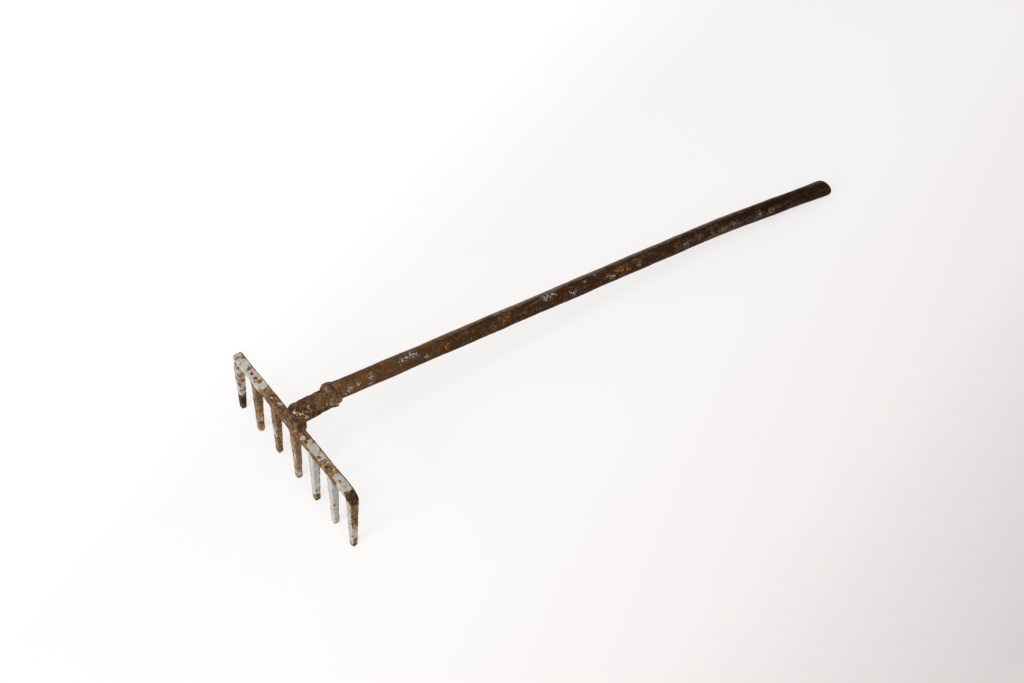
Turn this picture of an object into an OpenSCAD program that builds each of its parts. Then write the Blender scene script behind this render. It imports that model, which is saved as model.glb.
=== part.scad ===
// Garden rake, all of steel: a bar whose ends are bent down as the outer tines, five tines
// welded under it, a forged neck over its back, and a pipe for a handle.
// X runs along the bar, Y from the head along the handle, and Z up. The origin is on the
// ground, at the worn tip of the middle tine.

/* [Crossbar] */
// Width of the head, over the outer tines
head_w = 317; // [250:1:420]
// Depth of the bar, front to back
bar_d = 14; // [13.5:0.5:18]
// Height of the bar
bar_h = 11.5; // [9:0.5:13.5]
// Height of the bar's top face above the ground
bar_top = 112; // [85:0.5:150]
// Outside radius of the bend on the +X side
shoulder_r = 14; // [12:0.5:16]
// Outside radius of the bend on the -X side, which is hammered square
square_shoulder_r = 5; // [2:0.5:11]
// Radius inside the bends
inner_bend_r = 4; // [2:0.5:8]
// How far the middle of the bar stands from the middle tine
bar_shift = 6.3; // [0:0.1:10]

/* [Tines] */
// Width of a tine at its root
tine_w = 11.5; // [9:0.5:14]
// Width of a tine near its tip
tine_tip_w = 8.5; // [6:0.1:9]
// Depth of an inner tine at its root
tine_d = 12.8; // [10:0.1:13.4]
// Depth of a tine near its tip
tine_tip_d = 7.2; // [5:0.1:9]
// How far the front face comes forward on the way to the tip
tine_sweep = 2.5; // [0:0.1:8]
// Radius of the rounding at a tip
tip_r = 6; // [5:0.1:9]
// How much of the rounding is worn away at the bottom
tip_wear = 0.6; // [0.3:0.1:1.5]
// Size of the weld round an inner tine's root
root_weld = 4; // [1.5:0.1:6]

/* [Neck] */
// Diameter of the neck over the bar
neck_d = 31.5; // [29:0.5:36]
// Diameter of the neck at its shoulder, where the pipe butts
neck_end_d = 28.5; // [28:0.5:36]
// Distance from the bar's front face to the shoulder, along the neck's axis
neck_l = 68; // [50:1:90]
// Height of the neck's axis above the bar's top
neck_rise = 12.5; // [10:0.5:13]
// Distance from the bar's front face to the neck's nose
nose_back = 2.5; // [1:0.5:6]
// Radius round the edge of the nose
nose_r = 14; // [3:0.5:14]
// Length of the tang inside the pipe
tang_l = 60; // [30:1:120]
// How far the tang's axis lies below the pipe's axis
tang_drop = 2.6; // [2:0.1:4]
// Clearance between the underside of the tang and the pipe's bore
tang_gap = 0.25; // [0.1:0.05:1]
// Outside diameter of the weld collar at the pipe's mouth
collar_d = 37; // [35:0.5:42]
// Length of the weld collar
collar_l = 21; // [14:1:30]
// How far the weld between the neck and the bar reaches out from the neck
neck_weld_toe = 6; // [4:0.5:12]

/* [Handle] */
// Outside diameter of the pipe
pipe_d = 26.9; // [25:0.1:29]
// Wall of the pipe
pipe_wall = 2.6; // [1.5:0.1:3.5]
// Length of the pipe, from the shoulder to its far end
pipe_l = 971; // [700:1:1500]
// How far the handle stands from the middle tine, towards -X
handle_shift = 4.7; // [0:0.1:12]
// Height of the pipe's axis above the neck's axis at the shoulder
pipe_lift = 6.6; // [4:0.1:7]
// Angle by which the pipe leans towards +X
handle_skew = 0.2; // [0:0.1:2]
// Length of the last stretch, from the start of the bend
bent_l = 308; // [250:1:450]
// Angle of the bend
bend_angle = 2.9; // [0.5:0.1:3.5]
// Direction of the bend, from straight down towards +X
bend_turn = 10; // [0:1:90]
// Radius of the bend along the pipe's axis
bend_r = 2300; // [300:10:2500]
// Width of the hammered end
end_w = 33; // [28:0.5:40]
// Thickness of the hammered end
end_t = 22; // [14:0.5:25]
// Length of the hammered stretch
end_l = 70; // [40:1:90]
// Length of the rounded nose of the end
end_nose = 12; // [6:1:20]

/* [Hidden] */
$fn = 96;

rust = [0.38, 0.27, 0.20];
old_paint = [0.66, 0.65, 0.62];
weld_rust = [0.30, 0.19, 0.13];
pipe_brown = [0.27, 0.18, 0.13];

// The bar's faces, with the middle of the tines' tips on y = 0
front_y = tine_sweep - tine_tip_d / 2;
bar_bottom = bar_top - bar_h;
bar_mid = -bar_shift;
handle_x = -handle_shift;

// The inner tines stand between the outer two, each off its even place by hand
inner_tines = 5;
drift = [1.6, 4.1, bar_shift, 4.4, 3.4];
// How much shorter than the outer two each has worn
worn_short = [0, 4, 0, 0, 0];
outer_x = (head_w - tine_w) / 2;
pitch = 2 * outer_x / (inner_tines + 1);
function tine_x(n) = bar_mid - outer_x + (n - 1) * pitch + drift[n - 2];

// The neck's axis is level. The pipe butts square on the neck's shoulder and slopes down
neck_z = bar_top + neck_rise;
shoulder_y = front_y + neck_l;
shoulder_z = neck_z + pipe_lift;
straight_l = pipe_l - bent_l;
bend_l = bend_r * bend_angle * PI / 180;
big = 1000;

// Points along an arc, counter-clockwise where the angles rise
function arc(x, y, r, from, to, steps = 9) =
    [for (k = [0:steps]) let (a = from + (to - from) * k / steps) [x + r * cos(a), y + r * sin(a)]];

// Extrudes a front view, in X and Z, along Y, and a side view, in Y and Z, along X
module along_y() translate([0, big / 2, 0]) rotate([90, 0, 0]) linear_extrude(big) children();
module along_x() translate([-big / 2, 0, 0]) rotate([90, 0, 90]) linear_extrude(big) children();

// Side view of a bar and its tine: a straight front, and a back that tapers forward
module tine_side(depth, top) polygon([
    [-tine_tip_d / 2, 0], [tine_tip_d / 2, 0],
    [front_y + depth, bar_bottom], [front_y + depth, top], [front_y, top], [front_y, bar_bottom]]);

// What is cut away round the tip of a tine, so that it ends as a worn ball
module round_tip(x, short = 0) translate([x, 0, short]) difference() {
    translate([-tine_w, -tine_w, -short - 1]) cube([2 * tine_w, 2 * tine_w, tip_r - tip_wear + short + 1]);
    translate([0, 0, tip_r - tip_wear]) sphere(tip_r);
}

// Front view of the bar with its ends bent down, going round it counter-clockwise
module bar_front() {
    edge = head_w / 2;
    tip_in = outer_x - tine_tip_w / 2;
    tip_out = outer_x + tine_tip_w / 2;
    inner_x = edge - tine_w - inner_bend_r;
    inner_z = bar_bottom - inner_bend_r;
    polygon(concat(
        [[tip_in, 0], [tip_out, 0]],
        arc(edge - shoulder_r, bar_top - shoulder_r, shoulder_r, 0, 90),
        arc(square_shoulder_r - edge, bar_top - square_shoulder_r, square_shoulder_r, 90, 180),
        [[-tip_out, 0], [-tip_in, 0]],
        arc(-inner_x, inner_z, inner_bend_r, 180, 90),
        arc(inner_x, inner_z, inner_bend_r, 90, 0)));
}

module crossbar() color(old_paint) difference() {
    intersection() {
        translate([bar_mid, 0, 0]) along_y() bar_front();
        along_x() tine_side(bar_d, bar_top);
    }
    for (side = [-1, 1]) round_tip(bar_mid + side * outer_x);
}

module tine(n) color(rust) difference() {
    intersection() {
        translate([tine_x(n), 0, 0]) along_y() polygon([
            [-tine_tip_w / 2, 0], [tine_tip_w / 2, 0], [tine_w / 2, bar_bottom], [-tine_w / 2, bar_bottom]]);
        along_x() tine_side(tine_d, bar_bottom);
    }
    round_tip(tine_x(n), worn_short[n - 2]);
}

// A weld round both sides and the back of a tine's root, hollow at its sides
module tine_weld(n) color(weld_rust) difference() {
    reach = tine_w / 2 + root_weld;
    depth = tine_d + 0.8 * (bar_d - tine_d);
    translate([tine_x(n), front_y, bar_bottom - root_weld]) difference() {
        translate([-reach, 0, 0]) cube([2 * reach, depth, root_weld]);
        for (side = [-1, 1]) translate([side * reach, -1, 0])
            rotate([-90, 0, 0]) cylinder(r = root_weld - 0.4, h = depth + 2);
    }
    tine(n);
}

// Moves to the middle of the pipe's mouth, with +Z out along the pipe and +Y downwards
module at_shoulder() translate([handle_x, shoulder_y, shoulder_z]) rotate([-90 - slope, 0, -handle_skew])
    children();

module bar_space() translate([-big / 2, front_y, bar_bottom]) cube([big, bar_d, bar_h]);

// The neck is turned, and its shoulder is cut square to the pipe
module neck_body() difference() {
    past = neck_l + neck_d / 2;
    translate([handle_x, front_y, neck_z]) rotate([-90, 0, 0]) rotate_extrude() polygon(concat(
        [[0, past], [0, nose_back]],
        arc(neck_d / 2 - nose_r, nose_back + nose_r, nose_r, -90, 0),
        [[neck_end_d / 2, neck_l], [neck_end_d / 2, past]]));
    at_shoulder() translate([-big / 2, -big / 2, 0]) cube(big);
}

// The tang is part of the forging, lies low in the bore and reaches back into the neck
module tang() at_shoulder() translate([0, tang_drop, -neck_l / 4])
    cylinder(r = pipe_d / 2 - pipe_wall - tang_drop - tang_gap, h = neck_l / 4 + tang_l);

module neck() color(rust) {
    difference() {
        neck_body();
        bar_space();
    }
    tang();
}

// A lump of weld across the neck, through the corner points on one side and their mirror images
module lump(corners, d) hull() for (p = corners, side = [-1, 1])
    translate([side * p.x, p.y, p.z]) sphere(d = d, $fn = 20);

// The weld wraps the nose in a saddle on the bar's top, and fills the corner behind the bar
module neck_weld() color(weld_rust) difference() {
    flank = neck_d / 2;
    toe = flank + neck_weld_toe;
    brow = neck_rise + neck_d / 8;
    translate([handle_x, front_y, bar_top]) {
        lump([[toe - 4, 5, -2], [toe - 3, bar_d - 2, -2], [flank - 1, 4, brow / 2], [flank, bar_d, brow / 2],
              [flank - 6, nose_back + 4, brow], [flank - 5, bar_d - 2, brow]], 6);
        lump([[toe - 5, bar_d, -2], [flank - 4, bar_d, -bar_h / 2], [flank - 5, bar_d + 5, 1]], 7);
    }
    neck_body();
    bar_space();
    translate([-big / 2, front_y - big, 0]) cube(big);
}

// The collar is three beads laid round the end of the neck and the mouth of the pipe
module mouth_weld() color(weld_rust) difference() {
    seat = 0.01;
    bead_r = collar_l / 5;
    lower = [2.2, 0, 0.8];
    at_shoulder() translate([0, pipe_lift / 2, -0.46 * collar_l]) {
        translate([0, 0, bead_r / 2]) cylinder(d = collar_d - 1.8 * bead_r, h = collar_l - bead_r);
        for (k = [0:2]) translate([0, 0, bead_r + k * (collar_l / 2 - bead_r)])
            rotate_extrude() translate([collar_d / 2 - bead_r - lower[k], 0]) circle(bead_r);
    }
    neck_body();
    at_shoulder() translate([0, 0, -seat]) cylinder(d = pipe_d, h = collar_l);
}

// Where the pipe's axis has come to, s past the start of the bend: aside and along
function turn(s) = bend_angle * min(s / bend_l, 1);
function aside(s) = bend_r * (1 - cos(turn(s))) + max(s - bend_l, 0) * sin(turn(s));
function along(s) = bend_r * sin(turn(s)) + max(s - bend_l, 0) * cos(turn(s));

// The point at angle f round an oval section w wide and t thick, s past the start of the bend
function section_point(s, w, t, f) =
    let (x = w / 2 * cos(f), y = t / 2 * sin(f))
    let (towards = x * sin(bend_turn) + y * cos(bend_turn), across = x * cos(bend_turn) - y * sin(bend_turn))
    let (off = aside(s) + towards * cos(turn(s)))
    [off * sin(bend_turn) + across * cos(bend_turn),
     off * cos(bend_turn) - across * sin(bend_turn),
     straight_l + along(s) - towards * sin(turn(s))];

// The hammering grows smoothly from 0 to 1, and the nose closes from 1 to nearly 0
function eased(u) = let (v = max(0, min(1, u))) v * v * (3 - 2 * v);
function hammered(s) = eased((s - bent_l + end_l) / (end_l - end_nose));
function nose(s, power) = pow(1 - pow(max(0, (s - bent_l + end_nose) / end_nose), power), 1 / power);
function section_w(s) = (pipe_d + (end_w - pipe_d) * hammered(s)) * nose(s, 2.5);
function section_t(s) = (pipe_d + (end_t - pipe_d) * hammered(s)) * nose(s, 2);

// The underside of the hammered end rests on the ground, and that sets the pipe's slope
rest = section_point(bent_l - end_nose, end_w, end_t, 90);
slope = asin(shoulder_z / norm([rest.y, rest.z])) - atan2(rest.y, rest.z);

// Stations down the bent stretch: along the bend, the hammered stretch and the nose
stations = concat(
    [for (k = [0:4]) bend_l * k / 4],
    [for (k = [0:7]) bent_l - end_l + (end_l - end_nose) * k / 7],
    [for (k = [1:6]) bent_l - end_nose + end_nose * sin(14 * k)]);
sides = 40;

// The bent stretch as a solid, all round smaller by the inset
module bent_stretch(inset) {
    rings = len(stations);
    points = [for (s = stations, k = [0:sides - 1])
        section_point(s, max(section_w(s) - 2 * inset, 1), max(section_t(s) - 2 * inset, 1), 360 * k / sides)];
    walls = [for (i = [0:rings - 2], k = [0:sides - 1], half = [0, 1])
        let (a = i * sides + k, b = i * sides + (k + 1) % sides)
        half == 0 ? [a, a + sides, b] : [b, a + sides, b + sides]];
    last = (rings - 1) * sides;
    caps = [[for (k = [0:sides - 1]) k], [for (k = [sides - 1:-1:0]) last + k]];
    polyhedron(points, concat(walls, caps));
}

// A straight pipe that runs on into the bent stretch, which is a hair smaller where they meet
module handle_pipe() color(pipe_brown) difference() {
    seam = 0.15;
    at_shoulder() difference() {
        union() {
            cylinder(d = pipe_d, h = straight_l + 1);
            bent_stretch(seam);
        }
        translate([0, 0, -1]) cylinder(r = pipe_d / 2 - pipe_wall, h = straight_l + 2);
        bent_stretch(pipe_wall + seam);
    }
    translate([-big / 2, 0, -big]) cube([big, 2 * big, big]);
}

crossbar();
tine(2);  // tine_2
tine(3);  // tine_3
tine(4);  // tine_4
tine(5);  // tine_5
tine(6);  // tine_6
tine_weld(2);  // tine_weld_2
tine_weld(3);  // tine_weld_3
tine_weld(4);  // tine_weld_4
tine_weld(5);  // tine_weld_5
tine_weld(6);  // tine_weld_6
neck();
neck_weld();
mouth_weld();
handle_pipe();
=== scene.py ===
import math

import bmesh
import bpy
from mathutils import Matrix, Vector


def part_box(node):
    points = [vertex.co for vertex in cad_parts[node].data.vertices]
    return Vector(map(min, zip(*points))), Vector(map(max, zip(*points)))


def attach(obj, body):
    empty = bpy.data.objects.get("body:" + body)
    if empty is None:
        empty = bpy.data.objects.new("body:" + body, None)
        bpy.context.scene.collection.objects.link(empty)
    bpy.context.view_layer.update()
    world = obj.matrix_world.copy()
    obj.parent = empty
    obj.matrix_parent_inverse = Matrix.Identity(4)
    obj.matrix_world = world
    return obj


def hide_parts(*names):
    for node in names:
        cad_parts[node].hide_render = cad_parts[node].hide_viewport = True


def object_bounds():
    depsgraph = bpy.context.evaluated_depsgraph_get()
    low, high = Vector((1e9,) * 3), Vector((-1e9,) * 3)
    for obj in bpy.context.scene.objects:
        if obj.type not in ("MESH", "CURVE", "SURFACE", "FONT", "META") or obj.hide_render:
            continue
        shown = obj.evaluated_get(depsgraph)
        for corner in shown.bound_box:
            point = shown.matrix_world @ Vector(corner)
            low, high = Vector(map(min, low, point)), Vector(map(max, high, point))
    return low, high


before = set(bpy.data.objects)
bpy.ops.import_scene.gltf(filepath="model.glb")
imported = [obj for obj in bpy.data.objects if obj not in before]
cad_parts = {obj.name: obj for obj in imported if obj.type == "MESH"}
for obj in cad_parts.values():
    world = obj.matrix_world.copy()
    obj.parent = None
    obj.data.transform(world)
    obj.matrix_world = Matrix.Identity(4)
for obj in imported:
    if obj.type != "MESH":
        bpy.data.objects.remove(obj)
cad_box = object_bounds()

# Crossbar
# A flat steel bar whose two ends were bent down hot and drawn out into the outer tines. It
# was painted pale grey long ago. The paint has flaked off the middle and one corner, and the
# bare steel has rusted brown, with orange along the edges of the paint.


class Socket:
    """An output in a node tree. Arithmetic on it adds Math nodes to the same tree."""

    def __init__(self, source):
        self.source = source

    @classmethod
    def add(cls, tree, kind, sockets=None, give=0, stops=None, **settings):
        """Adds a node: first its settings and its ramp's stops, then its sockets' values or links."""
        node = tree.nodes.new(kind)
        for name, value in settings.items():
            setattr(node, name, value)
        if stops:
            ramp = node.color_ramp
            while len(ramp.elements) < len(stops):
                ramp.elements.new(0.5)
            # All places come first, because setting one sorts the ramp anew
            for element, (place, shade) in zip(ramp.elements, stops):
                element.position = place
            for element, (place, shade) in zip(ramp.elements, stops):
                element.color = (*shade, 1) if isinstance(shade, tuple) else (shade, shade, shade, 1)
        for name, value in (sockets or {}).items():
            if isinstance(value, Socket):
                tree.links.new(value.source, node.inputs[name])
            else:
                node.inputs[name].default_value = value
        return cls(node.outputs[give]) if node.outputs else None

    def other(self, give):
        """Another output of the same node."""
        return Socket(self.source.node.outputs[give])

    def maths(self, operation, *values, **settings):
        tree, sockets = self.source.id_data, dict(enumerate(values))
        return Socket.add(tree, "ShaderNodeMath", sockets, operation=operation, **settings)

    def function(self, operation):
        """A function of the value alone, such as its sine."""
        return self.maths(operation, self)

    def __add__(self, value):
        return self.maths("ADD", self, value)

    def __sub__(self, value):
        return self.maths("SUBTRACT", self, value)

    def __rsub__(self, value):
        return self.maths("SUBTRACT", value, self)

    def __mul__(self, value):
        return self.maths("MULTIPLY", self, value)

    def __truediv__(self, value):
        return self.maths("DIVIDE", self, value)

    def __rtruediv__(self, value):
        return self.maths("DIVIDE", value, self)

    def __pow__(self, value):
        return self.maths("POWER", self, value)

    def __neg__(self):
        return self.maths("MULTIPLY", self, -1.0)

    __radd__ = __add__
    __rmul__ = __mul__

    def limited(self):
        """The value kept between 0 and 1."""
        return self.maths("ADD", self, 0.0, use_clamp=True)

    def least(self, value):
        return self.maths("MINIMUM", self, value)

    def most(self, value):
        return self.maths("MAXIMUM", self, value)

    def step(self, start, end):
        """A smooth rise from 0 at start to 1 at end."""
        return Socket.add(
            self.source.id_data, "ShaderNodeMapRange",
            {"Value": self, "From Min": start, "From Max": end}, interpolation_type="SMOOTHSTEP",
        )


def ramp(value, stops):
    """A level, or a colour, that runs through (place, level) stops along a value."""
    start, end = stops[0][0], stops[-1][0]
    share = (value - start) * (1 / (end - start))
    placed = [((place - start) / (end - start), level) for place, level in stops]
    return Socket.add(value.source.id_data, "ShaderNodeValToRGB", {0: share}, stops=placed)


def blend(share, below, above):
    """The colour below where share is 0, and the colour above where it is 1."""
    def full(colour):
        return colour if isinstance(colour, Socket) else (*colour, 1)
    return Socket.add(
        share.source.id_data, "ShaderNodeMix", {0: share, 6: full(below), 7: full(above)}, give=2,
        data_type="RGBA",
    )


def vector_maths(operation, first, *values, give=0):
    """Vector Math on a point or a direction and on what follows it."""
    tree, sockets = first.source.id_data, dict(enumerate((first, *values)))
    return Socket.add(tree, "ShaderNodeVectorMath", sockets, give, operation=operation)


def noise(at, size, detail=2.0, rough=0.5, **settings):
    """Cloudy noise round 0.5 with clouds of about that size, in millimetres."""
    sockets = {"Vector": at, "Scale": 1 / size, "Detail": detail, "Roughness": rough}
    return Socket.add(at.source.id_data, "ShaderNodeTexNoise", sockets, **settings)


def millimetres(tree, shift=(0.0, 0.0, 0.0), stretch=(1.0, 1.0, 1.0)):
    """The point on the piece in millimetres, stretched, and moved so that materials differ."""
    place = Socket.add(tree, "ShaderNodeTexCoord", give="Object")
    scale = tuple(1000.0 * share for share in stretch)
    return vector_maths("MULTIPLY_ADD", place, scale, shift)


def axes(at):
    """The three numbers of a point or a direction."""
    x = Socket.add(at.source.id_data, "ShaderNodeSeparateXYZ", {0: at})
    return x, x.other(1), x.other(2)


def ball(at, centre, radius):
    """1 at the centre of a ball, falling to 0 at its radius."""
    far = vector_maths("DISTANCE", at, centre, give="Value")
    return (1 - far * (1 / radius)).limited()


def spots(at, places):
    """1 at the middle of each of some spots, each a centre and a radius, falling to 0 round it."""
    marks = [ball(at, centre, radius) for centre, radius in places]
    whole = marks[0]
    for mark in marks[1:]:
        whole = whole.most(mark)
    return whole


def pushed(at, size, amount):
    """The point pushed about by clouds, so that what is drawn round a spot turns ragged."""
    cloud = noise(at, size, detail=3.0, rough=0.6).other(1)
    moved = vector_maths("MULTIPLY_ADD", cloud, (amount,) * 3, at)
    return vector_maths("SUBTRACT", moved, (amount / 2,) * 3)


# Colours as linear values
RUST_DARK = (0.030, 0.017, 0.010)
RUST_BROWN = (0.118, 0.062, 0.031)
RUST_TAN = (0.230, 0.134, 0.072)
RUST_SAND = (0.360, 0.240, 0.145)
RUST_ORANGE = (0.370, 0.175, 0.045)
PAINT_PALE = (0.610, 0.618, 0.612)
PAINT_GREY = (0.330, 0.325, 0.315)
PAINT_STAIN = (0.480, 0.375, 0.220)


def rusty_steel(name, finish, shift=(0.0, 0.0, 0.0), grain=4.5, fleck=8.0, contrast=0.9):
    """Rusty steel with what is left of its paint. finish takes a point, its coordinates and the way the
    surface faces, and gives the share of paint, its grime together with painted shade, and the
    lightness of the rust, which on some faces holds painted light.
    grain is the size of the rust's mottles and fleck that of the paint's, in millimetres, and
    contrast is how far the mottles stand out."""
    material = bpy.data.materials.new(name)
    material.use_nodes = True
    tree = material.node_tree
    at = millimetres(tree)
    moved = millimetres(tree, shift)
    facing = Socket.add(tree, "ShaderNodeNewGeometry", give="Normal")
    edge = Socket.add(tree, "ShaderNodeAttribute", give="Fac", attribute_name="edge")
    edge = (edge * 2.5).least(1.0).most(-1.0)
    cover, grime_and_shade, tone = finish(at, axes(at), axes(facing))

    # Brown rust, darker in its hollows, with sandy scabs and orange patches
    clouds = noise(moved, 15.0) - 0.5
    mottle = noise(moved, grain, detail=5.0, rough=0.62) - 0.5
    specks = noise(moved, 1.2, detail=3.0, rough=0.6) - 0.5
    uneven = (mottle * 1.7 + clouds * 1.1 + specks * 0.9) * contrast
    shade = (uneven + edge * 0.10 + 0.5 + tone).limited()
    rust = Socket.add(
        tree, "ShaderNodeValToRGB", {0: shade},
        stops=[(0.16, RUST_DARK), (0.44, RUST_BROWN), (0.66, RUST_TAN), (0.90, RUST_SAND)],
    )
    patches = noise(moved, 7.0, detail=5.0, rough=0.65, noise_dimensions="4D")
    rust = blend(patches.step(0.56, 0.70) * 0.65, rust, RUST_ORANGE)

    # Paint stays where a fractal pattern lies under the cover, with stained and rusty rims, and
    # fine cracks part it into plates
    pattern = (noise(moved, fleck, detail=7.0, rough=0.62) - 0.5) * 2.3 + 0.5
    margin = cover - pattern - edge * 0.10
    paint = (margin * 15.0).limited()
    rim = (margin * 4.0 + 1.0).limited()
    rust = blend(rim * 0.58, rust, RUST_ORANGE)
    # Grime greys the paint, and where the finish sets it by the way a face turns, this grey is painted
    # shade
    dirt_and_shade = ((noise(moved, 5.0, detail=6.0, rough=0.7) - 0.5) * 2.6 + grime_and_shade).limited()
    plates = {"Vector": moved, "Scale": 1 / 4.5}
    cells = Socket.add(tree, "ShaderNodeTexVoronoi", plates, feature="DISTANCE_TO_EDGE")
    cracks = 1 - cells.step(0.0, 0.07)
    film = blend((dirt_and_shade + cracks * 0.35).limited(), PAINT_PALE, PAINT_GREY)
    film = blend((1 - (margin * 2.6).limited()) * 0.75, film, PAINT_STAIN)
    colour = blend(paint, rust, film)

    height = (mottle * 0.6 + specks * 0.4) * (1 - paint * 0.75) + paint * (0.5 - cracks * 0.25)
    bump = Socket.add(tree, "ShaderNodeBump", {"Strength": 0.6, "Distance": 0.0004, "Height": height})
    principled = tree.nodes["Principled BSDF"]
    tree.links.new(colour.source, principled.inputs["Base Color"])
    tree.links.new(bump.source, principled.inputs["Normal"])
    tree.links.new((0.88 - paint * 0.30 - specks * 0.15).source, principled.inputs["Roughness"])
    principled.inputs["Specular IOR Level"].default_value = 0.12
    return material


def new_tree(name, whole=(), numbers=(), points=()):
    """A Geometry Nodes tree with a mesh, named inputs and a material. Gives it and its inputs."""
    tree = bpy.data.node_groups.new(name, "GeometryNodeTree")
    kinds = [("Geometry", "Geometry")] + [(title, "Int") for title in whole]
    kinds += [(title, "Float") for title in numbers] + [(title, "Vector") for title in points]
    for title, kind in kinds + [("Material", "Material")]:
        tree.interface.new_socket(title, in_out="INPUT", socket_type="NodeSocket" + kind)
    tree.interface.new_socket("Geometry", in_out="OUTPUT", socket_type="NodeSocketGeometry")
    return tree, Socket.add(tree, "NodeGroupInput", give="Geometry")


def close_tree(tree, shape, given):
    """Ends a tree with smooth shading, real geometry and the given material."""
    smooth = Socket.add(tree, "GeometryNodeSetShadeSmooth", {"Geometry": shape})
    whole = Socket.add(tree, "GeometryNodeRealizeInstances", {"Geometry": smooth})
    finish = {"Geometry": whole, "Material": given.other("Material")}
    coated = Socket.add(tree, "GeometryNodeSetMaterial", finish)
    Socket.add(tree, "NodeGroupOutput", {0: coated})


def wearing():
    """A tree that wears a dense mesh. It rounds the edges, marks edges and hollows for the
    material, raises and sinks dents, scabs and pits, and keeps the points inside a box."""
    layers = (("Dent", 1.0), ("Scab", 3.0), ("Pit", 2.0))
    numbers = ["Swelling"]
    numbers += [kind + part for kind, detail in layers for part in (" Depth", " Size")]
    tree, given = new_tree("worn steel", ("Rounding", "Seed"), numbers, ("Lowest", "Highest"))

    def blurred(times):
        place = Socket.add(tree, "GeometryNodeInputPosition")
        return Socket.add(
            tree, "GeometryNodeBlurAttribute", {"Value": place, "Iterations": times},
            data_type="FLOAT_VECTOR",
        )

    position = Socket.add(tree, "GeometryNodeInputPosition")
    normal = Socket.add(tree, "GeometryNodeInputNormal")
    soft = blurred(given.other("Rounding"))
    shape = Socket.add(tree, "GeometryNodeSetPosition", {"Geometry": given, "Position": soft})
    # Edges stand out from the blurred shape and hollows lie under it, here in millimetres
    wide_blur = 12
    proud = vector_maths("SUBTRACT", position, blurred(wide_blur))
    proud = vector_maths("DOT_PRODUCT", proud, normal, give="Value") * 1000.0
    shape = Socket.add(
        tree, "GeometryNodeStoreNamedAttribute",
        {"Geometry": shape, "Name": "edge", "Value": proud},
        data_type="FLOAT", domain="POINT",
    )
    # A steady push outwards makes up for what the rounding took, and each layer of wear reads
    # its own part of the noise
    apart = 7.3
    swell = given.other("Swelling")
    for layer, (kind, detail) in enumerate(layers):
        cloud = Socket.add(
            tree, "ShaderNodeTexNoise",
            {"Vector": position, "W": given.other("Seed") + apart * layer, "Detail": detail,
             "Scale": 1.0 / given.other(kind + " Size")},
            noise_dimensions="4D",
        )
        swell = swell + (cloud.step(0.25, 0.75) - 0.5) * given.other(kind + " Depth")
    outwards = Socket.add(tree, "ShaderNodeVectorMath", {0: normal, "Scale": swell}, operation="SCALE")
    shape = Socket.add(tree, "GeometryNodeSetPosition", {"Geometry": shape, "Offset": outwards})
    kept = vector_maths("MAXIMUM", position, given.other("Lowest"))
    kept = vector_maths("MINIMUM", kept, given.other("Highest"))
    shape = Socket.add(tree, "GeometryNodeSetPosition", {"Geometry": shape, "Position": kept})
    close_tree(tree, shape, given)
    return tree


def put_in(modifier, **values):
    """Sets a Geometry Nodes modifier's inputs, found by name and set by identifier."""
    for item in modifier.node_group.interface.items_tree:
        title = item.name.replace(" ", "_")
        if item.in_out == "INPUT" and title in values:
            modifier[item.identifier] = values[title]


def empty_piece(name, points=(), edges=()):
    """A new piece of bare points and edges, for a tree to build on."""
    mesh = bpy.data.meshes.new(name)
    mesh.from_pydata(points, edges, [])
    piece = bpy.data.objects.new(name, mesh)
    bpy.context.scene.collection.objects.link(piece)
    return piece


def merged_copy(node, name):
    """A copy of a CAD node's mesh with its corners joined."""
    piece = empty_piece(name)
    piece.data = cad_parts[node].data.copy()
    piece.data.materials.clear()
    shape = bmesh.new()
    shape.from_mesh(piece.data)
    bmesh.ops.remove_doubles(shape, verts=shape.verts, dist=2e-6)
    shape.to_mesh(piece.data)
    shape.free()
    return piece


def settled(piece):
    """Turns what a piece's modifiers make into its plain mesh."""
    bpy.context.view_layer.update()
    finished = piece.evaluated_get(bpy.context.evaluated_depsgraph_get())
    made = bpy.data.meshes.new_from_object(finished)
    piece.modifiers.clear()
    piece.data = made
    return piece


def worn(piece, material, voxel=0.0, **wear):
    """Remeshes a closed piece finely, unless voxel is 0, wears it and makes it a plain mesh.
    Dents, scabs and pits are each given as a depth and a size. What isn't given is 0."""
    if voxel:
        fine = piece.modifiers.new("fine", "REMESH")
        fine.mode = "VOXEL"
        fine.voxel_size = voxel
    modifier = piece.modifiers.new("worn", "NODES")
    modifier.node_group = WEAR
    for kind in ("Dent", "Scab", "Pit"):
        wear[kind + "_Depth"], wear[kind + "_Size"] = wear.pop(kind, (0.0, 0.0))
    lowest, highest = cad_box
    put_in(modifier, Material=material, Lowest=tuple(lowest), Highest=tuple(highest), **wear)
    settled(piece)


def stands_for(piece, node):
    """The piece rides on the rake's one body in place of that CAD node."""
    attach(piece, "root")
    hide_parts(node)


WEAR = wearing()
# The bar's faces. Its own box takes in the outer tines, so the middle tine and its weld,
# which end flush with the bar's underside and front, give these two.
BAR_BACK, BAR_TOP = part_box("crossbar")[1][1:]
BAR_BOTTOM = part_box("tine_4")[1][2]
BAR_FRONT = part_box("tine_weld_4")[0][1]

# Rust spots in the paint, and flecks of paint left on the rust, as centres and radii in
# millimetres
RUST_SPOTS = [
    ((-154, 3, 112), 4), ((-149, 13, 112), 6), ((-127, 6, 112), 5), ((-116, 4, 112), 4),
    ((-106, 4, 112), 5), ((-97, 6, 112), 5), ((58, 14, 112), 6), ((-159, -2, 73), 6),
    ((70, 3, 112), 4), ((121, 4, 112), 4),
]
PAINT_FLECKS = [
    ((-45, 7, 112), 5), ((11, 1, 112), 6), ((27, 2, 112), 6), ((-60, 4, 112), 4),
    ((-16, 6, 112), 4),
]


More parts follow.
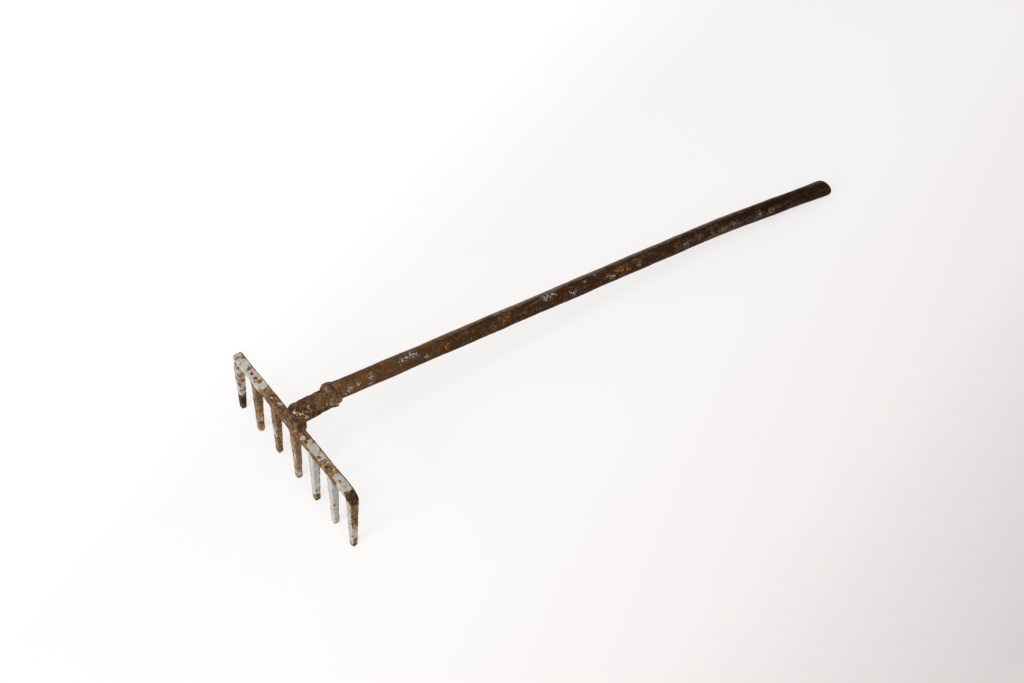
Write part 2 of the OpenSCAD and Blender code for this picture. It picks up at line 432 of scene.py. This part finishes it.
def bar_finish(at, place, facing):
    """Paint by its place along the top and the front, and down the two outer tines."""
    x, y, z = place
    ragged = pushed(at, 4.0, 7.0)
    front = (-facing[1]).step(0.4, 0.8)
    above = ramp(x, [
        (-165, 0.84), (-157, 0.80), (-153, 0.60), (-146, 0.84), (-112, 0.82), (-84, 0.80),
        (-79, 0.05), (32, 0.06), (40, 0.62), (48, 0.84), (72, 0.80), (79, 0.36), (104, 0.44),
        (110, 0.84), (138, 0.82), (144, 0.08), (153, 0.0),
    ])
    ahead = ramp(x, [
        (-165, 0.70), (-90, 0.80), (-83, 0.05), (40, 0.04), (74, 0.16), (80, 0.60), (88, 0.50),
        (92, 0.14), (116, 0.16), (121, 0.65), (139, 0.75), (147, 0.20), (153, 0.10),
    ])
    cover = above + (ahead - above) * front
    cover = cover - spots(ragged, RUST_SPOTS) * 1.2 + spots(ragged, PAINT_FLECKS) * 1.1
    far_side = ramp(z, [
        (0, 0.25), (8, 0.10), (31, 0.12), (35, 0.80), (48, 0.76), (54, 0.50), (112, 0.62),
    ])
    near_side = ramp(z, [
        (0, 0.16), (12, 0.25), (24, 0.72), (42, 0.70), (50, 0.34), (64, 0.20), (78, 0.08), (112, 0.02),
    ])
    near_front = ramp(z, [(0, 0.50), (14, 0.84), (88, 0.84), (98, 0.40), (106, 0.05), (112, 0.0)])
    near_cover = near_side + (near_front - near_side) * front
    low = 1 - z.step(96, 100)
    far = low * (1 - x.step(-154.5, -152.5))
    near = x.step(139, 143)
    cover = cover * (1 - far) * (1 - near) + far_side * far + near_cover * near
    burnt = ball(at, (150, 8, 108), 17)
    # The back edge is worn bare and dark, and the far half has the cleaner paint. The top's paint is
    # greyer than the front's, partly from grime and partly as painted shade.
    bare = y.step(10.0, 12.5) * z.step(104, 110)
    grime_and_shade = 0.36 + x.step(-90, 0) * 0.26 - front * 0.30
    dark_tip = far * (1 - z.step(28, 36))
    tone = 0.01 - bare * 0.16 - burnt * 0.60 - dark_tip * 0.42
    return cover - bare * 0.45, grime_and_shade, tone


crossbar = merged_copy("crossbar", "worn_crossbar")
worn(
    crossbar, rusty_steel("bar_steel", bar_finish), voxel=0.0009,
    Rounding=2, Seed=1, Swelling=0.00025,
    Dent=(0.0008, 0.030), Scab=(0.0006, 0.006), Pit=(0.0003, 0.0018),
)
# Its shoulder at the -X end is worn rounder: the upright edges turn to arcs, which fade out
# down the tine
shoulder_radius = 0.0055
arc_foot, arc_head = 0.085, 0.100
arc_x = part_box("crossbar")[0][0] + shoulder_radius
for point in crossbar.data.vertices:
    x, y, z = point.co
    arc_y = min(max(y, BAR_FRONT + shoulder_radius), BAR_BACK - shoulder_radius)
    off = Vector((x - arc_x, y - arc_y, 0))
    if off.x < 0 and off.length > shoulder_radius:
        share = min(max((z - arc_foot) / (arc_head - arc_foot), 0), 1)
        point.co += off * (shoulder_radius / off.length - 1) * share
stands_for(crossbar, "crossbar")

# Inner tines
# Five tapered steel tines, cut from slightly shallower bar and welded under the crossbar.
# Their tips are worn round. The two towards the +X end keep most of their paint, and the
# others are brown with streaks of it.

# The lightness of each tine's rust, and the paint up its front and its sides from the tip
TINES = {
    "tine_2": (0.09, [(0, 0.5), (14, 0.3), (50, 0.35), (100, 0.25)],
               [(0, 0.55), (10, 0.50), (14, 0.06), (20, 0.08), (25, 0.55), (40, 0.50),
                (46, 0.12), (100, 0.08)]),
    "tine_3": (0.12, [(0, 0.15), (36, 0.20), (44, 0.62), (66, 0.60), (74, 0.22), (100, 0.15)],
               [(0, 0.15), (50, 0.16), (100, 0.10)]),
    "tine_4": (0.11, [(0, 0.15), (10, 0.55), (40, 0.45), (75, 0.28), (100, 0.10)],
               [(0, 0.02), (4, 0.10), (6, 0.62), (14, 0.58), (18, 0.14), (60, 0.20), (100, 0.06)]),
    "tine_5": (0.04, [(0, 0.30), (12, 0.55), (20, 0.90), (100, 0.85)],
               [(0, 0.25), (14, 0.35), (20, 0.80), (90, 0.78), (100, 0.55)]),
    "tine_6": (0.04, [(0, 0.60), (8, 0.85), (90, 0.90), (100, 0.70)],
               [(0, 0.60), (8, 0.80), (17, 0.84), (84, 0.84), (94, 0.60), (100, 0.45)]),
}


def tine_finish(tone, ahead, aside):
    """A finish with its own stops up the front and up the sides, and a bare back edge. The sides get
    greyer paint and darker rust than the front, as painted shade.
    """
    def finish(at, place, facing):
        y, z = place[1:]
        front = (-facing[1]).step(0.4, 0.8)
        below = ramp(z, aside)
        back = (y - z * 0.081).step(1.2, 3.2)
        cover = below + (ramp(z, ahead) - below) * front - back * (1 - front) * 0.35
        # The sides' greyer paint and darker rust are painted shade, and the fronts' paler ones painted
        # light
        return cover, 0.40 - front * 0.34, tone + front * 0.10 - back * 0.10
    return finish


# A point nearer to a face than this lies on it
ON_FACE = 0.0001
root_run = 0.005
for number, (node, (tone, ahead, aside)) in enumerate(TINES.items()):
    tine = merged_copy(node, "worn_" + node)
    # The root runs up into the bar, so that the rounding there stays out of sight
    for point in tine.data.vertices:
        if point.co.z > BAR_BOTTOM - ON_FACE:
            point.co.z += root_run
    finish = tine_finish(tone, ahead, aside)
    worn(
        tine, rusty_steel(node + "_steel", finish, shift=(31.0 * number, 7.0, 3.0)),
        voxel=0.0007, Rounding=2, Seed=10 + number, Swelling=0.00025,
        Dent=(0.0008, 0.022), Scab=(0.0007, 0.005), Pit=(0.0003, 0.0016),
    )
    stands_for(tine, node)

# Neck
# The forged neck sits over the back of the bar and carries a tang inside the pipe. It is
# bare, rough and rusty all over, with a few flecks of old paint.

# Where the flecks of paint lie, as centres and radii in millimetres
NECK_FLECKS = [
    ((1, 8, 137), 6), ((6, 14, 133), 7), ((11, 20, 127), 8), ((3, 27, 136), 6),
    ((-9, 40, 137), 3), ((9, 55, 130), 4),
]


def neck_finish(at, place, facing):
    """Bare rust, with painted shade on the faces that turn downwards and in a patch on top near the
    nose, and darker along a line across the neck where the saddle of weld ends."""
    x, y = place[:2]
    off_line = y - (x - 0.6).most(0.0) * 1.23 - 8.0
    line = 1 - off_line.function("ABSOLUTE").step(0.5, 4.0)
    # Faces that turn downwards are painted darker, as painted shade
    under = 1 - facing[2].step(-0.1, 0.55)
    # A patch on top near the nose is painted darker, as the shade of the recess there
    nose_recess_shade = ball(at, (6, 20, 133), 20)
    cover = spots(pushed(at, 3.0, 7.0), NECK_FLECKS) * 0.62 + line * 0.12 + 0.05
    return cover, 0.6, -0.11 - line * 0.30 - nose_recess_shade * 0.30 - under * 0.08


neck_steel = rusty_steel(
    "neck_steel", neck_finish, shift=(5.0, 90.0, 0.0), grain=7.0, fleck=2.2, contrast=0.68,
)
neck = merged_copy("neck", "worn_neck")
# Its seats run on into the bar, so that no gap opens where their edges are rounded
seat_run = 0.003
for point in neck.data.vertices:
    on_top = abs(point.co.z - BAR_TOP) < ON_FACE and point.co.y < BAR_BACK + ON_FACE
    behind = abs(point.co.y - BAR_BACK) < ON_FACE and point.co.z < BAR_TOP + ON_FACE
    point.co.z -= seat_run * on_top
    point.co.y -= seat_run * behind
worn(
    neck, neck_steel, voxel=0.0008, Rounding=4, Seed=20, Swelling=0.0004,
    Dent=(0.0018, 0.016), Scab=(0.0005, 0.006), Pit=(0.0002, 0.0020),
)
stands_for(neck, "neck")

# Welds
# Weld was laid drop on drop round both sides and the back of each tine's root, and in three
# turns round the pipe's mouth, and heaped in a saddle over the nose of the neck. It overlaps
# what it joins, and rust has taken the edge off its ripples.

# The middle of the pipe's mouth, and the neck's size and its height over the bar
HANDLE_X = -0.0047
SHOULDER_Y = 0.0669
SHOULDER_Z = 0.1311
NECK_DIAMETER = 0.0315
NECK_RISE = 0.0125


def weld_laying():
    """A tree that lays drops of weld along a piece's edges, each a little larger or smaller than the
    others.
    """
    tree, given = new_tree("weld run", ("Seed",), ("Step", "Drop Radius", "Unevenness"))
    run = Socket.add(tree, "GeometryNodeMeshToCurve", {"Mesh": given})
    run = Socket.add(
        tree, "GeometryNodeResampleCurve", {"Curve": run, "Length": given.other("Step")}, mode="LENGTH",
    )
    drop = Socket.add(tree, "GeometryNodeMeshIcoSphere", {"Radius": 1.0, "Subdivisions": 3})
    spread = given.other("Unevenness")
    growth = Socket.add(
        tree, "FunctionNodeRandomValue", {2: 1 - spread, 3: 1 + spread, "Seed": given.other("Seed")},
        give=1, data_type="FLOAT",
    )
    drops = Socket.add(
        tree, "GeometryNodeInstanceOnPoints",
        {"Points": run, "Instance": drop, "Scale": growth * given.other("Drop Radius")},
    )
    close_tree(tree, drops, given)
    return tree


WELD_LAYING = weld_laying()


def weld_run(name, paths, radius, step, seed):
    """A piece of weld drops along some open paths."""
    points, edges = [], []
    for path in paths:
        edges += [(len(points) + k, len(points) + k + 1) for k in range(len(path) - 1)]
        points += path
    piece = empty_piece(name, points, edges)
    modifier = piece.modifiers.new("drops", "NODES")
    modifier.node_group = WELD_LAYING
    put_in(modifier, Seed=seed, Step=step, Drop_Radius=radius, Unevenness=0.14, Material=neck_steel)
    return settled(piece)


def weld_finish(at, place, facing):
    """Bare rust, with a fleck of paint on the collar and one on the saddle."""
    flecks = [((13, 69, 124), 5), ((11, 1, 113), 5)]
    return spots(pushed(at, 3.0, 5.0), flecks) * 0.9 + 0.06, 0.6, -0.10


def flows_into(piece, node, *cuts):
    """Adds a slightly smaller copy of a neighbour, cut off at planes given by a point and a way
    out, so that the weld flows into it in a hollow curve once both are rounded together."""
    neighbour = merged_copy(node, "neighbour")
    shape = bmesh.new()
    shape.from_mesh(neighbour.data)
    for place, way in cuts:
        whole = shape.verts[:] + shape.edges[:] + shape.faces[:]
        bmesh.ops.bisect_plane(shape, geom=whole, plane_co=place, plane_no=way, clear_outer=True)
        bmesh.ops.holes_fill(shape, edges=[edge for edge in shape.edges if edge.is_boundary])
    shape.normal_update()
    smaller = 0.0008
    for point in shape.verts:
        point.co -= point.normal * smaller
    shape.from_mesh(piece.data)
    shape.to_mesh(piece.data)
    shape.free()
    bpy.data.objects.remove(neighbour)


# The middle tine also has a fat corner of weld: how far each run of it lies out from the
# tine's -X side, and how far above the others
FAT_CORNER = [(0.0005, -0.0032), (0.0026, -0.0012), (0.0052, 0.0006), (0.0076, 0.0012)]
root_drop = 0.0023
off_face = 0.0004
for number, tine_node in enumerate(TINES):
    node = tine_node.replace("tine", "tine_weld")
    lowest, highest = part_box(tine_node)
    left, right = lowest[0] - off_face, highest[0] + off_face
    front, back = BAR_FRONT + root_drop, highest[1] - off_face
    height = BAR_BOTTOM - 0.0010
    paths = [[
        (left, front, height), (left, back, height), (right, back, height), (right, front, height),
    ]]
    if node == "tine_weld_4":
        paths += [
            [(left - out, front, height + rise), (left - out, back, height + rise)]
            for out, rise in FAT_CORNER
        ]
    weld = weld_run("laid_" + node, paths, radius=root_drop, step=0.0019, seed=number)
    weld_steel = rusty_steel(
        "root_weld_steel_%d" % number, weld_finish, shift=(13.0 * number, 0.0, 50.0),
        grain=6.0, fleck=3.0, contrast=0.7,
    )
    worn(
        weld, weld_steel, voxel=0.0005, Rounding=4, Seed=30 + number, Swelling=0.0002,
        Dent=(0.0006, 0.005), Scab=(0.0004, 0.003), Pit=(0.0002, 0.0015),
    )
    stands_for(weld, node)

# The saddle: two lumps, each the hull of balls that stand in pairs on both flanks of the
# neck. Each ball is out from the handle's line, back from the bar's front, and up from its top.
flank = NECK_DIAMETER / 2
foot = flank + 0.006
crown = NECK_RISE + NECK_DIAMETER / 8
bar_depth = BAR_BACK - BAR_FRONT
half_bar = (BAR_TOP - BAR_BOTTOM) / 2
saddle = [
    (0.0030, [
        (foot - 0.004, 0.005, -0.002), (foot - 0.003, bar_depth - 0.002, -0.002),
        (flank - 0.001, 0.004, crown / 2), (flank, bar_depth, crown / 2),
        (flank - 0.006, 0.0065, crown), (flank - 0.005, bar_depth - 0.002, crown),
    ]),
    (0.0035, [
        (foot - 0.005, bar_depth, -0.002), (flank - 0.004, bar_depth, -half_bar),
        (flank - 0.005, bar_depth + 0.005, 0.001),
    ]),
]
neck_weld = empty_piece("laid_neck_weld")
saddle_shape = bmesh.new()
for radius, balls in saddle:
    lump = bmesh.new()
    for x, y, z in balls:
        for side in (-1, 1):
            place = Matrix.Translation((HANDLE_X + side * x, BAR_FRONT + y, BAR_TOP + z))
            bmesh.ops.create_icosphere(lump, subdivisions=2, radius=radius, matrix=place)
    hull = bmesh.ops.convex_hull(lump, input=lump.verts[:])
    kept = {face for face in hull["geom"] if isinstance(face, bmesh.types.BMFace)}
    bmesh.ops.delete(lump, geom=[face for face in lump.faces if face not in kept], context="FACES")
    one_lump = bpy.data.meshes.new("lump")
    lump.to_mesh(one_lump)
    saddle_shape.from_mesh(one_lump)
    lump.free()
bmesh.ops.recalc_face_normals(saddle_shape, faces=saddle_shape.faces)
saddle_shape.to_mesh(neck_weld.data)
saddle_shape.free()
flows_into(neck_weld, "neck", ((0, 0.034, 0), (0, 1, 0)))
flows_into(neck_weld, "crossbar", ((-0.034, 0, 0), (-1, 0, 0)), ((0.026, 0, 0), (1, 0, 0)))
neck_weld_steel = rusty_steel(
    "neck_weld_steel", weld_finish, shift=(0.0, 60.0, 9.0), grain=7.0, fleck=3.0, contrast=0.75,
)
worn(
    neck_weld, neck_weld_steel, voxel=0.0008, Rounding=16, Seed=50, Swelling=0.0004,
    Dent=(0.0014, 0.010), Scab=(0.0004, 0.004), Pit=(0.0002, 0.0016),
)
stands_for(neck_weld, "neck_weld")

# The collar: three turns round the pipe's mouth, which go back along the pipe and hang a
# little low on it. PIPE_SLOPE is how steeply the pipe goes down to the floor.
PIPE_SLOPE = math.radians(6.49)
COLLAR_DIAMETER = 0.037
COLLAR_LENGTH = 0.021
collar_drop = COLLAR_LENGTH / 5 + 0.0003
collar_start = -0.46 * COLLAR_LENGTH
collar_sag = 0.0033
waver = 0.0008
turns, steps = 3, 40
collar_path = []
for k in range(turns * steps + 1):
    around = 2 * math.pi * k / steps
    reach = COLLAR_DIAMETER / 2 - collar_drop - waver * (1 + math.sin(2.3 * around))
    laid = (COLLAR_LENGTH - 2 * collar_drop) * k / (turns * steps)
    along = collar_start + collar_drop + laid
    across, down = reach * math.cos(around), reach * math.sin(around) + collar_sag
    collar_path.append((
        HANDLE_X + across,
        SHOULDER_Y + along * math.cos(PIPE_SLOPE) - down * math.sin(PIPE_SLOPE),
        SHOULDER_Z - along * math.sin(PIPE_SLOPE) - down * math.cos(PIPE_SLOPE),
    ))
mouth_weld = weld_run("laid_mouth_weld", [collar_path], radius=collar_drop, step=0.0034, seed=9)
flows_into(mouth_weld, "neck", ((0, 0.045, 0), (0, -1, 0)), ((0, SHOULDER_Y, 0), (0, 1, 0)))
flows_into(mouth_weld, "handle_pipe", ((0, SHOULDER_Y + 0.024, 0), (0, 1, 0)))
mouth_weld_steel = rusty_steel(
    "mouth_weld_steel", weld_finish, shift=(0.0, 60.0, 72.0), grain=7.0, fleck=3.0, contrast=0.75,
)
worn(
    mouth_weld, mouth_weld_steel, voxel=0.0008, Rounding=6, Seed=60, Swelling=0.0005,
    Dent=(0.0016, 0.012), Scab=(0.0004, 0.004), Pit=(0.0002, 0.0016),
)
stands_for(mouth_weld, "mouth_weld")

# Handle
# A steel pipe with a slight bend, its far end hammered flat, spread and closed. Its old dark
# paint and rust have worn smooth in the hands, with small chips and flecks of pale and
# orange paint.

# BEND_TURN is how far the bend is turned about the pipe's line, from straight down towards
# +X, and HANDLE_SKEW how far the whole handle is turned towards +X
PIPE_DIAMETER = 0.0269
PIPE_LENGTH = 0.971
BENT_LENGTH = 0.308
BEND_ANGLE = math.radians(2.9)
BEND_RADIUS = 2.3
BEND_TURN = math.radians(10)
HANDLE_SKEW = math.radians(0.2)
END_WIDTH = 0.033
END_THICKNESS = 0.022
END_LENGTH = 0.070
END_NOSE = 0.012


def pipe_drawing():
    """A tree that draws the closed pipe: straight, then bent, hammered flat and rounded off."""
    tree, given = new_tree(
        "hammered pipe", ("Sides", "Rings"),
        ("Diameter", "Length", "Bent Length", "Bend Angle", "Bend Radius", "End Width", "End Thickness",
         "End Length", "End Nose"),
        ("Mouth",),
    )
    nose, bent, length = given.other("End Nose"), given.other("Bent Length"), given.other("Length")
    straight = length - bent
    tube = Socket.add(
        tree, "GeometryNodeMeshCylinder",
        {"Vertices": given.other("Sides"), "Side Segments": given.other("Rings"),
         "Radius": 1.0, "Depth": 2.0},
        fill_type="TRIANGLE_FAN",
    )
    x, y, z = axes(Socket.add(tree, "GeometryNodeInputPosition"))

    # Rings lie evenly down the pipe, and closer over the nose
    share = (z + 1) * 0.5
    body = 0.96
    over_nose = ((share - body) * (0.5 * math.pi / (1 - body))).most(0.0)
    station = (share * (1 / body)).least(1.0) * (length - nose) + over_nose.function("SINE") * nose
    past = (station - straight).most(0.0)
    angle = given.other("Bend Angle")
    bend = given.other("Bend Radius") * angle
    turn = (past / bend).least(1.0) * angle
    sine, cosine = turn.function("SINE"), turn.function("COSINE")
    beyond = (past - bend).most(0.0)
    aside = given.other("Bend Radius") * (1 - cosine) + beyond * sine
    along = given.other("Bend Radius") * sine + beyond * cosine

    # The oval section grows flat under the hammer and closes at the nose
    flat = past.step(bent - given.other("End Length"), bent - nose)
    into = ((past - bent + nose) / nose).most(0.0)
    diameter = given.other("Diameter")
    width = diameter + (given.other("End Width") - diameter) * flat
    width = width * (1 - into ** 2.5).most(0.0) ** 0.4
    thick = diameter + (given.other("End Thickness") - diameter) * flat
    thick = thick * (1 - into ** 2.0).most(0.0) ** 0.5
    x, y = x * width * 0.5, y * thick * 0.5
    towards = x * math.sin(BEND_TURN) + y * math.cos(BEND_TURN)
    across = x * math.cos(BEND_TURN) - y * math.sin(BEND_TURN)
    off = aside + towards * cosine
    place = Socket.add(tree, "ShaderNodeCombineXYZ", {
        0: off * math.sin(BEND_TURN) + across * math.cos(BEND_TURN),
        1: off * math.cos(BEND_TURN) - across * math.sin(BEND_TURN),
        2: station.least(straight) + along - towards * sine,
    })
    shape = Socket.add(tree, "GeometryNodeSetPosition", {"Geometry": tube, "Position": place})
    shape = Socket.add(tree, "GeometryNodeMergeByDistance", {"Geometry": shape, "Distance": 1e-5})
    shape = Socket.add(tree, "GeometryNodeTransform", {
        "Geometry": shape, "Translation": given.other("Mouth"),
        "Rotation": (-math.pi / 2 - PIPE_SLOPE, 0.0, -HANDLE_SKEW),
    })
    close_tree(tree, shape, given)
    return tree


# Marks on the handle, as centres and radii in millimetres
WHITE_FLECKS = [
    ((8.6, 84, 131), 5), ((7.9, 94, 133), 7), ((6.6, 108, 134), 5), ((3.2, 130, 135), 6),
    ((8.8, 126, 126), 6), ((2.4, 182, 130), 6), ((0.6, 190, 131), 7), ((0.0, 198, 130), 7),
    ((0.8, 207, 128), 6), ((8, 221, 119), 4), ((1.2, 436, 102), 7), ((0.5, 444, 101), 9),
    ((-0.1, 452, 100), 6), ((9.3, 485, 88), 5), ((7, 480, 91), 4), ((1.7, 512, 93), 4),
    ((-0.8, 533, 91), 4),
]
YELLOW_CHIPS = [
    ((9.1, 556, 82), 6), ((9.3, 562, 80), 6), ((7, 553, 86), 5), ((9.0, 612, 75), 6),
    ((9.6, 866, 43), 7), ((11.5, 892, 36), 6), ((8, 708, 65), 5),
]
ORANGE_CHIPS = [
    ((-7, 83, 143), 6), ((-7.2, 155, 134), 6), ((6.6, 255, 118), 9), ((3.5, 250, 122), 6),
    ((6.8, 358, 106), 7), ((6.4, 366, 105), 6), ((6.3, 571, 84), 8), ((7.2, 581, 81), 10),
    ((8.4, 592, 78), 8), ((7.5, 690, 69), 6), ((9.8, 712, 63), 6), ((7.9, 735, 63), 7),
    ((10.3, 764, 56), 6), ((10.5, 785, 53), 6), ((9.6, 809, 52), 5), ((9.8, 862, 44), 8),
    ((11.4, 887, 38), 7),
]
# Its colours: rust near the head, soot in its hollows, and chips and flecks of paint
PIPE_RUST = (0.170, 0.078, 0.030)
PIPE_SOOT = (0.012, 0.0060, 0.0030)
CHIP_ORANGE = (0.400, 0.170, 0.036)
CHIP_YELLOW = (0.480, 0.390, 0.260)
FLECK_WHITE = (0.540, 0.530, 0.500)
FLECK_SAND = (0.330, 0.230, 0.150)


def pipe_steel():
    """Smooth brown steel, warm near the head and nearly black at the far end, with a painted sheen
    along its upper side.
    """
    material = bpy.data.materials.new("pipe_steel")
    material.use_nodes = True
    tree = material.node_tree
    at = millimetres(tree)
    x, y = axes(at)[:2]
    streaks = noise(millimetres(tree, stretch=(1.0, 0.22, 1.0)), 7.0, detail=5.0, rough=0.6) - 0.5
    mottle = noise(at, 5.0, detail=5.0, rough=0.65) - 0.5
    specks = noise(at, 1.4) - 0.5
    base = ramp(y, [
        (60, (0.112, 0.060, 0.030)), (150, (0.090, 0.046, 0.020)), (250, (0.055, 0.025, 0.0095)),
        (460, (0.043, 0.018, 0.0062)), (660, (0.037, 0.0158, 0.0055)), (870, (0.020, 0.0075, 0.0020)),
        (1035, (0.017, 0.0065, 0.0018)),
    ])
    pale = ramp(y, [
        (60, (0.125, 0.068, 0.034)), (150, (0.165, 0.092, 0.048)), (250, (0.320, 0.195, 0.112)),
        (400, (0.390, 0.268, 0.200)), (660, (0.260, 0.188, 0.152)), (800, (0.260, 0.185, 0.155)),
        (870, (0.150, 0.098, 0.070)), (1035, (0.110, 0.064, 0.040)),
    ])
    # The upper far side is paler, partly from dust and partly as a painted sheen, and on the far half
    # the lower side is a little paler, as painted light bounced from the floor. All round it is worn in
    # streaks. Across the pipe, side runs from -1 to 1.
    middle = (y - 1000 * SHOULDER_Y) * math.tan(HANDLE_SKEW) + 1000 * HANDLE_X
    side = (x - middle) * (2 / (1000 * PIPE_DIAMETER))
    dust_and_sheen = (1 - side.step(-0.65, 0.20)) * 0.74 + side.step(0.5, 1.0) * y.step(600, 800) * 0.15
    wear_dust_and_sheen = (dust_and_sheen + streaks * 1.1 + mottle * 1.1 + specks * 0.5 - 0.01).limited()
    colour = blend(wear_dust_and_sheen, base, pale)
    by_head = 1 - y.step(90, 240)
    rusty = (mottle * 3.5 + streaks * 1.5 + specks * 1.5 + 0.20).limited()
    colour = blend(rusty * by_head * 0.8, colour, PIPE_RUST)
    dark = (mottle * -3.0 + streaks * -2.0 - 0.30 + by_head * 0.30).limited()
    colour = blend(dark * 0.6, colour, PIPE_SOOT)

    ragged = pushed(at, 3.5, 8.0)
    breaks = (noise(millimetres(tree, stretch=(1.0, 0.4, 1.0)), 1.4, detail=3.0, rough=0.7) - 0.5) * 7.0

    def chipped(places):
        """Broken chips, closest together at the middle of each place."""
        near = spots(ragged, [(centre, 1.15 * radius) for centre, radius in places])
        return ((near + breaks - 0.95) * 6.0).limited() * (near * 5.0).limited()

    orange = chipped(ORANGE_CHIPS)
    yellow = chipped(YELLOW_CHIPS)
    white = chipped(WHITE_FLECKS)
    colour = blend(orange * 0.85, colour, CHIP_ORANGE)
    colour = blend(yellow * 0.9, colour, CHIP_YELLOW)
    colour = blend(white * 0.9, colour, FLECK_WHITE)
    fine_flecks = (noise(at, 2.2, detail=3.0, rough=0.6) - 0.5).step(0.20, 0.26)
    fine_flecks = fine_flecks * (1 - y.step(300, 620) * 0.7)
    colour = blend(fine_flecks * 0.6, colour, FLECK_SAND)

    chips = orange.most(yellow).most(white)
    height = mottle * 0.5 + streaks * 0.4 + specks * 0.15 - chips * 0.35
    bump = Socket.add(tree, "ShaderNodeBump", {"Strength": 0.45, "Distance": 0.0005, "Height": height})
    principled = tree.nodes["Principled BSDF"]
    tree.links.new(colour.source, principled.inputs["Base Color"])
    tree.links.new(bump.source, principled.inputs["Normal"])
    tree.links.new((chips * 0.25 - mottle * 0.4 + 0.44).source, principled.inputs["Roughness"])
    principled.inputs["Specular IOR Level"].default_value = 0.02
    return material


pipe = empty_piece("worn_handle_pipe")
modifier = pipe.modifiers.new("pipe", "NODES")
modifier.node_group = pipe_drawing()
handle_steel = pipe_steel()
put_in(
    modifier, Sides=72, Rings=680, Diameter=PIPE_DIAMETER, Length=PIPE_LENGTH,
    Bent_Length=BENT_LENGTH, Bend_Angle=BEND_ANGLE, Bend_Radius=BEND_RADIUS,
    End_Width=END_WIDTH, End_Thickness=END_THICKNESS, End_Length=END_LENGTH, End_Nose=END_NOSE,
    Mouth=(HANDLE_X, SHOULDER_Y, SHOULDER_Z), Material=handle_steel,
)
worn(pipe, handle_steel, Seed=70, Dent=(0.0008, 0.045), Scab=(0.0003, 0.010))
# Two nicks in its wall, as centres, radii and depths
NICKS = [((-0.006, 0.4645, 0.0991), 0.006, 0.0016), ((-0.006, 0.547, 0.0896), 0.009, 0.0010)]
for centre, radius, depth in NICKS:
    for point in pipe.data.vertices:
        near = 1 - (point.co - Vector(centre)).length / radius
        if near > 0:
            point.co -= point.normal * depth * near
stands_for(pipe, "handle_pipe")

# Studio
# A pale floor shows almost white to the camera and keeps the rake's soft shadow. A large
# soft lamp hangs high on the camera's side, a smaller one stands low in front of the head,
# and even light comes from all round.


def shown(tree):
    """1 for rays that show a thing to the camera, straight or mirrored, and 0 for its light."""
    path = Socket.add(tree, "ShaderNodeLightPath", give="Is Camera Ray")
    return (path + path.other("Is Glossy Ray") + path.other("Is Transmission Ray")).limited()


floor_mesh = bpy.data.meshes.new("floor")
reach = 6.0
corners = [(reach * x, reach * y, 0) for x, y in ((-1, -1), (1, -1), (1, 1), (-1, 1))]
floor_mesh.from_pydata(corners, [], [(0, 1, 2, 3)])
floor = bpy.data.objects.new("floor", floor_mesh)
bpy.context.scene.collection.objects.link(floor)
pale = bpy.data.materials.new("pale_floor")
pale.use_nodes = True
tree = pale.node_tree
tree.nodes.clear()
floor_x, floor_y = axes(millimetres(tree))[:2]
# It goes slightly darker towards the lower right of the picture, as painted shade where the light falls
# off.
glow_colour = ramp(floor_x * 0.9 + floor_y * 0.25, [
    (-1000, (1.000, 1.000, 1.000)), (-400, (0.970, 0.968, 0.967)), (-250, (0.900, 0.893, 0.890)),
    (-100, (0.835, 0.823, 0.820)), (150, (0.830, 0.816, 0.811)), (300, (0.815, 0.800, 0.792)),
    (550, (0.740, 0.713, 0.703)), (870, (0.490, 0.454, 0.447)),
])
matt = Socket.add(tree, "ShaderNodeBsdfDiffuse", {"Color": (0.86, 0.85, 0.84, 1)})
glow = Socket.add(tree, "ShaderNodeEmission", {"Color": glow_colour, "Strength": 1.3})
surface = Socket.add(tree, "ShaderNodeMixShader", {0: shown(tree) * 0.64, 1: matt, 2: glow})
Socket.add(tree, "ShaderNodeOutputMaterial", {0: surface})
floor_mesh.materials.append(pale)

scene = bpy.context.scene
world = bpy.data.worlds.new("studio")
scene.world = world
world.use_nodes = True
background = world.node_tree.nodes["Background"]
background.inputs["Color"].default_value = (1.0, 0.99, 0.98, 1)
# The camera sees it almost white, and the rake is lit by less
strength = shown(world.node_tree) * 0.50 + 0.42
world.node_tree.links.new(strength.source, background.inputs["Strength"])

# Each lamp's place, what it is aimed at, its size and its power
LAMPS = {
    "overhead_lamp": ((1.3, -0.6, 2.7), (0, 0.35, 0), 2.6, 47),
    "front_lamp": ((0.7, -3.0, 1.4), (0, 0.3, 0), 1.5, 42),
}
for name, (stand, aim, size, power) in LAMPS.items():
    lamp = bpy.data.lights.new(name, "AREA")
    lamp.shape = "DISK"
    lamp.size = size
    lamp.energy = power
    lamp_stand = bpy.data.objects.new(name, lamp)
    lamp_stand.location = stand
    lamp_stand.rotation_euler = (Vector(aim) - Vector(stand)).to_track_quat("-Z", "Y").to_euler()
    scene.collection.objects.link(lamp_stand)
scene.view_settings.view_transform = "Standard"

# Camera
# It looks down on the rake from beyond the +X end of its head. Its place, its lens and the
# way that it looks were fitted to the photograph.

camera = bpy.data.cameras.new("camera")
camera.lens = 57.17
camera.sensor_width = 36
camera_stand = bpy.data.objects.new("camera", camera)
stand = Vector((1.32867, -0.59234, 1.85052))
right = Vector((0.588025, 0.808841, 0.001413))
forward = Vector((-0.543685, 0.39655, -0.739699))
up = right.cross(forward)
turned = Matrix((right, up, -forward)).transposed().to_4x4()
camera_stand.matrix_world = Matrix.Translation(stand) @ turned
scene.collection.objects.link(camera_stand)
scene.camera = camera_stand
